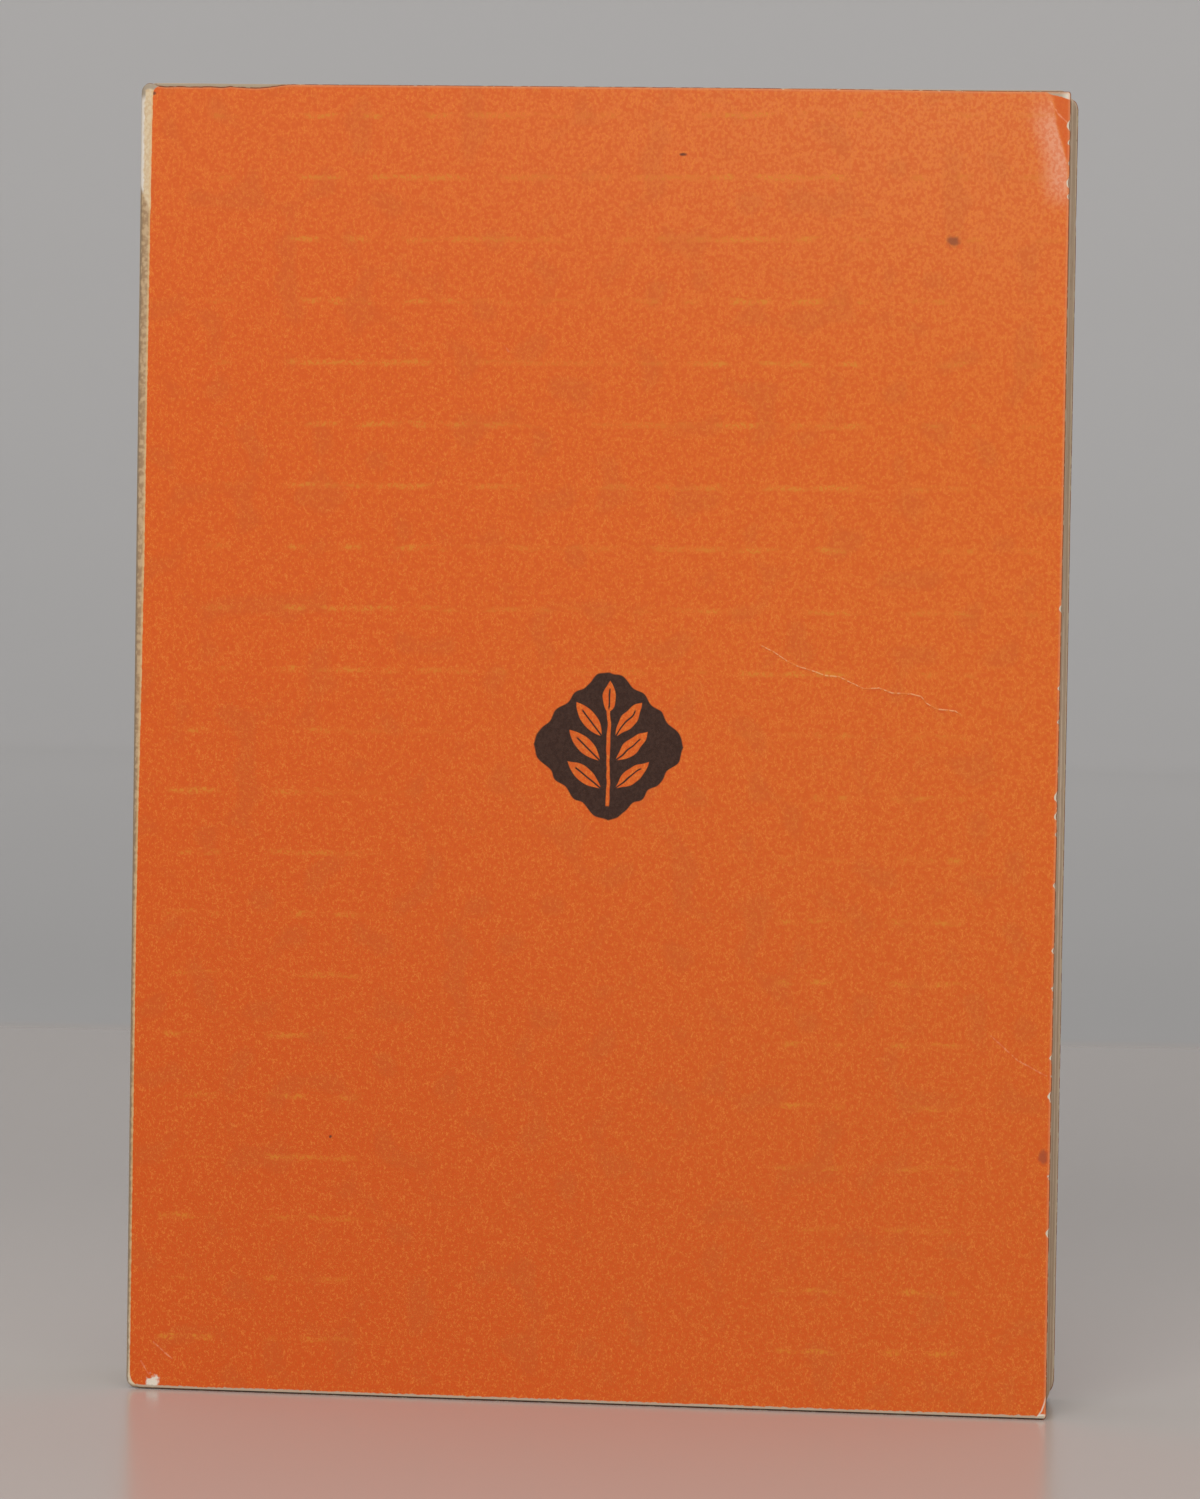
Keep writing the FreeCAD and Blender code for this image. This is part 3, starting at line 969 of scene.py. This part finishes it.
def make_leaf_paper(name):
    """Yellowed paper: each leaf has its own tone, the trimmed sides are browned and dusty, and a painted
    shade darkens them towards the tail.
    """
    recipe = Recipe(name)
    leaf_tone = recipe.soft(recipe.noise(0.9, 1.0, (0.02, 1.0, 0.02)), 0.38, 0.62)
    section_tone = recipe.soft(recipe.noise(0.24, 0.0, (0.02, 1.0, 0.02)), 0.4, 0.6, 0.0, 0.6)
    dust = recipe.soft(recipe.noise(0.3, 3.0, (1, 0.5, 1)), 0.35, 0.7)
    colour = recipe.mix(leaf_tone, (230, 208, 182), (194, 170, 144))
    colour = recipe.mix(section_tone, colour, (170, 146, 120))
    colour = recipe.mix(recipe.product(dust, 0.3), colour, (168, 144, 120))
    # Painted shade: the trimmed sides get darker towards the tail, near the table.
    colour = recipe.mix(recipe.soft(recipe.z, 10, 90, 0.3, 0.0), colour, (156, 126, 98))
    page = recipe.mix(recipe.soft(recipe.noise(0.15, 2.0), 0.3, 0.7), (222, 207, 177), (216, 199, 167))
    page = recipe.mix(recipe.soft(recipe.value("rim_mm"), 0.5, 14.0, 0.55, 0.0), page, (188, 162, 124))
    page = recipe.mix(recipe.soft(recipe.value("rim_mm"), 0.3, 1.0), (172, 155, 130), page)
    on_page = recipe.soft(recipe.math("ABSOLUTE", recipe.y), block_high[1] - 0.03, block_high[1] - 0.01)
    colour = recipe.mix(on_page, colour, page)
    speck = recipe.soft(recipe.noise(0.8, 0.0), 0.76, 0.8, 0.0, 0.35)
    colour = recipe.mix(speck, colour, (140, 100, 66))
    normal = recipe.relief(recipe.noise(2.5, 2.0), 0.015)
    return recipe.finish(colour, recipe.soft(dust, 0.0, 1.0, 0.82, 0.92), normal, Specular_IOR_Level=0.25)


leaf_paper = make_leaf_paper("leaf_paper")

# %% [markdown]
# ### Leaves from rings
# A solid block with a picture of lines on it would look flat from close by. Single leaves as 156
# sheets would be heavy and would cut through each other. So the block is one closed skin of rings, and
# the two pages that face the covers are closed by rings that shrink to their middle.

# %% Leaves
section_count = 13
leaves_per_section = 12
groove_depth = 0.2
back_round = 0.7
fore_edge_lean = 0.15
fore_edge_crown = 0.08
most_stand_back = 0.05
leaf_rounding = 0.05
beside_groove = 0.03
page_steps = (0.99, 0.96, 0.9, 0.8, 0.6, 0.35, 0.1)


def leaf_outline(count_fore, count_head, count_back):
    """Outline of a leaf seen from the front, with its outward directions, as (x, z) arrays.

    It runs up the fore-edge, back along the head, down the spine side and along the tail, with a
    quarter circle at each worn corner.
    """
    low_x, high_x = block_low[0], block_high[0]
    corners = [
        (high_x - leaf_tail_corner, leaf_tail_corner, leaf_tail_corner, -90),
        (high_x - leaf_head_corner, book_height - leaf_head_corner, leaf_head_corner, 0),
        (low_x + fold_corner, book_height - fold_corner, fold_corner, 90),
        (low_x + fold_corner, fold_corner, fold_corner, 180),
    ]
    places, directions = [], []
    sides = (count_fore, count_head, count_back, count_head)
    for index, (x, z, radius, start) in enumerate(corners):
        angle = np.radians(start + np.linspace(0, 90, 9))
        normal = np.stack([np.cos(angle), np.sin(angle)], -1)
        arc = np.array([x, z]) + radius * normal
        next_x, next_z, next_radius, next_start = corners[(index + 1) % 4]
        turn = np.radians(next_start)
        first = np.array([next_x, next_z]) + next_radius * np.array([np.cos(turn), np.sin(turn)])
        share = np.linspace(0, 1, sides[index] + 2)[1:-1, None]
        places += [arc, arc[-1] + share * (first - arc[-1])]
        directions += [normal, np.repeat(normal[-1:], sides[index], 0)]
    return np.concatenate(places), np.concatenate(directions)


def leaf_depths():
    """Depths through the block, and how far the trimmed sides lie in at each of them.

    Each leaf has an edge at both of its sides and one point on its rounded middle. The first and
    last leaf of a section lie back by the groove.
    """
    draw = np.random.default_rng(51)
    block_thickness = block_high[1] - block_low[1]
    leaf = block_thickness / (section_count * leaves_per_section)
    index = np.arange(section_count * leaves_per_section)
    stand_back = draw.uniform(0.0, most_stand_back, len(index))
    at_groove = np.minimum(index % leaves_per_section, leaves_per_section - 1 - index % leaves_per_section)
    start = block_low[1] + leaf * index
    depth = np.stack([start, start + leaf * 0.5], -1).ravel()
    middle = stand_back + beside_groove * ease(1.5 - at_groove, 0, 1.5)
    valley = stand_back + leaf_rounding + (groove_depth - leaf_rounding) * (index % leaves_per_section == 0)
    push = np.stack([valley, middle], -1).ravel()
    depth = np.append(depth, block_high[1])
    push = np.append(push, push[1])
    push[0] = push[1]
    return depth, push, np.append(np.repeat(index, 2), index[-1])


def trimmed_sides():
    """Points of the block's sides: rings of the leaf outline, one for each depth.

    Returns the points and their numbers as an array of (ring, place along the outline). On the glued
    side the rings don't stand back, and are rounded towards the first and last leaf instead.
    """
    outline, outward = leaf_outline(110, 44, 16)
    depth, push, leaf_number = leaf_depths()
    run = np.concatenate([[0], np.cumsum(np.linalg.norm(np.diff(outline, axis=0), axis=1))])
    glued = ease(-outward[:, 0], 0.2, 0.9)
    draw = np.random.default_rng(52)
    phase = draw.uniform(0, 2 * np.pi, leaf_number.max() + 1)[leaf_number]
    wave = 0.02 * np.sin(run[None, :] / 9.0 + phase[:, None])
    wave = wave + 0.012 * np.sin(run[None, :] / 2.3 + 2 * phase[:, None])
    half = block_high[1]
    rounding = corner_drop(np.abs(depth) - half + back_round, back_round)
    # The lean grows towards the front cover, and the crown towards both covers.
    lean = fore_edge_lean * (1 - depth / half) / 2 + fore_edge_crown * (depth / half) ** 2
    trimmed = push[:, None] + 0.02 + wave + (lean[:, None] * ease(outward[:, 0], 0, 1))
    pushed = trimmed * (1 - glued) + rounding[:, None] * glued
    flat = outline[None] - pushed[..., None] * outward[None]
    rings, around = pushed.shape
    y = np.broadcast_to(depth[:, None], pushed.shape)
    points = np.stack([flat[..., 0], y, flat[..., 1]], -1).reshape(-1, 3)
    return points, np.arange(rings * around).reshape(rings, around)


def make_leaves(name):
    """Closed block: the trimmed sides, and two outer pages made of rings that shrink to a hub.

    A ring is centre + step (edge - centre), and its rim value is (1 - step) times half the width.
    """
    points, number = trimmed_sides()
    around = number.shape[1]
    all_points, rim = [points], [np.zeros(len(points))]
    faces, hub_faces = [ring_faces(number)], []
    first = len(points)
    steps = np.array(page_steps)
    for edge_numbers, y in ((number[0], block_low[1]), (number[-1], block_high[1])):
        edge = points[edge_numbers]
        centre = edge.mean(0)
        rings = centre + steps[:, None, None] * (edge - centre)
        page = np.concatenate([rings.reshape(-1, 3), centre[None]])
        page[:, 1] = y
        all_points.append(page)
        rim.append((1 - np.append(np.repeat(steps, around), 0.0)) * fore_x)
        page_numbers = first + np.arange(len(page) - 1).reshape(-1, around)
        faces.append(ring_faces(np.concatenate([edge_numbers[None], page_numbers])))
        inner = page_numbers[-1]
        hub = np.full(around, first + len(page) - 1)
        hub_faces.append(np.stack([inner, np.roll(inner, -1), hub], -1))
        first += len(page)
    groups = [(np.concatenate(faces), leaf_paper), (np.concatenate(hub_faces), leaf_paper)]
    values = {"rim_mm": np.concatenate(rim)}
    return make_piece(name, np.concatenate(all_points), groups, values, smooth=False)


leaves = make_leaves("leaf_block")

# %% [markdown]
# ## Glue
# A film of adhesive holds the block in the spine. It hardly ever shows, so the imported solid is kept
# and only gets a finish: aged, yellow-brown and uneven.

# %% Glue


def make_glue(name):
    """Aged film: yellow-brown streaks along the height, a little shiny and raised."""
    recipe = Recipe(name)
    streak = recipe.soft(recipe.noise(0.5, 4.0, (1, 1, 0.2)), 0.3, 0.7)
    colour = recipe.mix(streak, (196, 168, 118), (158, 122, 76))
    return recipe.finish(colour, recipe.soft(streak, 0.0, 1.0, 0.35, 0.6), recipe.relief(streak, 0.05))


glue_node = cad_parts["spine_glue"]
glue_node.data.materials.clear()
glue_node.data.materials.append(make_glue("aged_glue"))

# %% [markdown]
# ## What moves with what
# The leaves and the spine panel stay with the book. Each half cover has its place baked into its points, and
# the imported piece it stands in for is hidden.


def bend_with(piece, node):
    """Half cover: its place is baked into its points, and the imported piece it replaces is hidden."""
    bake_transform(piece)
    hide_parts(node)


bend_with(front_cover, "front_cover")
bend_with(back_cover, "back_cover")
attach(spine_panel, "book")
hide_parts("cover_spine")
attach(leaves, "book")
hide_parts("page_block")

# %% [markdown]
# ## Table and backdrop
# The book stands on a pale, slightly glossy table, and its orange shows in it as a soft reflection. A
# grey wall rises far behind. Both are one profile carried across: flat, then a quarter circle, then
# up. The table's far edge is out of focus in the photograph, so it is a soft change of colour here.
# Past it, the wall's tone is a table over y + z: painted shading that gets lighter going up and dips in the
# bend, where the turned surface would catch more light.

# %% Sweep
table_edge = 522.0
table_edge_slope = 0.1
table_edge_blur = 26.0
sweep_join = 1700.0
sweep_radius = 200.0
sweep_reach = 8000.0
wall_top = 1600.0
wall_painted_shading = [
    (530, 0.496), (599, 0.496), (696, 0.508), (790, 0.527), (936, 0.553), (1110, 0.577), (1323, 0.609),
    (1515, 0.642), (1664, 0.658), (1736, 0.652), (1764, 0.635), (1786, 0.622), (1817, 0.613),
    (1878, 0.604), (1913, 0.606), (1986, 0.622), (2047, 0.652), (2097, 0.686), (2142, 0.702), (2217, 0.717),
]


def make_sweep(name, material):
    """Table and backdrop as one profile: straight, a quarter circle, straight up."""
    angle = np.linspace(0, math.pi / 2, 24)
    bend_y = sweep_join + sweep_radius * np.sin(angle)
    profile_y = np.concatenate([[-sweep_reach], bend_y, [sweep_join + sweep_radius]])
    profile_z = np.concatenate([[0.0], sweep_radius * (1 - np.cos(angle)), [wall_top]])
    across = np.linspace(-sweep_reach, sweep_reach, 2)
    y, x = np.meshgrid(profile_y, across, indexing="ij")
    z = np.broadcast_to(profile_z[:, None], y.shape)
    points = np.stack([x, y, z], -1).reshape(-1, 3)
    sweep = make_piece(name, points, [(grid_faces(*y.shape), material)], {})
    return sweep


def make_table_finish(name):
    """Table top and wall paint, parted by a soft slanted line at the table's far edge; the table is darkened
    towards the back by painted shade, and the wall carries painted shading.
    """
    recipe = Recipe(name)
    # Painted shade: the table gets darker towards the back.
    far_half_painted_shade = recipe.mix(recipe.soft(recipe.y, 40, 240), (199, 190, 184), (188, 180, 175))
    table = recipe.mix(recipe.soft(recipe.y, -60, 60), (199, 187, 179), far_half_painted_shade)
    cloud = recipe.soft(recipe.noise(0.004, 0.0), 0.3, 0.7, 0.0, 0.06)
    table = recipe.mix(cloud, table, (150, 140, 134))
    # Painted shading on the wall, from the table of tones over y + z.
    tone = recipe.line(recipe.math("ADD", recipe.y, recipe.z), wall_painted_shading)
    wall = recipe.vector("SCALE", (1.0, 0.979, 0.966), scale=tone)
    from_edge = recipe.less(recipe.y, recipe.scaled(recipe.x, table_edge_slope, table_edge))
    is_wall = recipe.soft(from_edge, -table_edge_blur / 2, table_edge_blur / 2)
    colour = recipe.mix(is_wall, table, wall)
    rough = recipe.scaled(is_wall, 0.6, 0.22)
    return recipe.finish(colour, rough, IOR=1.33)


sweep = make_sweep("table_and_backdrop", make_table_finish("table_finish"))

# %% [markdown]
# ## Camera
# The camera stands a little to the right of the book and above its middle, and looks slightly down and
# to the left. Its place, angles and focal length were worked out from the corners of the cover.

# %% Camera
camera_place = np.array([103.1, -827.3, 128.7])
camera_yaw = math.radians(-7.108)
camera_pitch = math.radians(-2.765)
camera_roll = math.radians(0.892)
photo_height = 1499
focal_pixels = 6115.1
sensor = 36.0


def stand(thing, right, up, forward, place):
    """Put an object at a place in metres, looking forward along its own -Z."""
    axes = np.stack([right, up, -np.asarray(forward), place], -1)
    thing.matrix_world = Matrix(np.vstack([axes, [0, 0, 0, 1]]).tolist())


def camera_axes(yaw, pitch, roll):
    """Right, up and forward directions: yaw about Z, then pitch, then roll about the view."""
    forward = np.array([math.sin(yaw) * math.cos(pitch), math.cos(yaw) * math.cos(pitch), math.sin(pitch)])
    level = np.array([math.cos(yaw), -math.sin(yaw), 0.0])
    upright = np.cross(level, forward)
    right = math.cos(roll) * level + math.sin(roll) * upright
    up = math.cos(roll) * upright - math.sin(roll) * level
    return right, up, forward


camera_data = bpy.data.cameras.new("camera")
camera_data.sensor_width = sensor
camera_data.lens = focal_pixels * sensor / photo_height
camera = bpy.data.objects.new("camera", camera_data)
bpy.context.scene.collection.objects.link(camera)
stand(camera, *camera_axes(camera_yaw, camera_pitch, camera_roll), camera_place * MM)
bpy.context.scene.camera = camera
print("lens", round(camera_data.lens, 1), "mm")

# %% [markdown]
# ## Light
# Two large soft lamps in front and an even world. The lamp at the left is the stronger one. Both hang
# above the book, so the cover darkens slowly towards its tail and the soft shadow lies behind it.

# %% Lamps and world


def add_lamp(name, place, target, size, power):
    """Square soft lamp at a place, turned to a target, in metres and watts."""
    lamp = bpy.data.lights.new(name, "AREA")
    lamp.size = size
    lamp.energy = power
    lamp_object = bpy.data.objects.new(name, lamp)
    bpy.context.scene.collection.objects.link(lamp_object)
    direction = np.array(target) - np.array(place)
    forward = direction / np.linalg.norm(direction)
    right = np.cross(forward, [0, 0, 1.0])
    right /= np.linalg.norm(right)
    stand(lamp_object, right, np.cross(right, forward), forward, place)


book_middle = (0.0, 0.0, 0.09)
add_lamp("key_lamp", (-0.15, -1.4, 0.72), book_middle, 0.8, 11.6)
add_lamp("fill_lamp", (0.6, -1.45, 0.6), book_middle, 0.9, 3.0)

world = bpy.data.worlds.new("soft_room")
bpy.context.scene.world = world
world.use_nodes = True
background = world.node_tree.nodes["Background"]
background.inputs["Color"].default_value = (1.0, 1.0, 1.0, 1.0)
background.inputs["Strength"].default_value = 0.53
bpy.context.scene.view_settings.view_transform = "Standard"
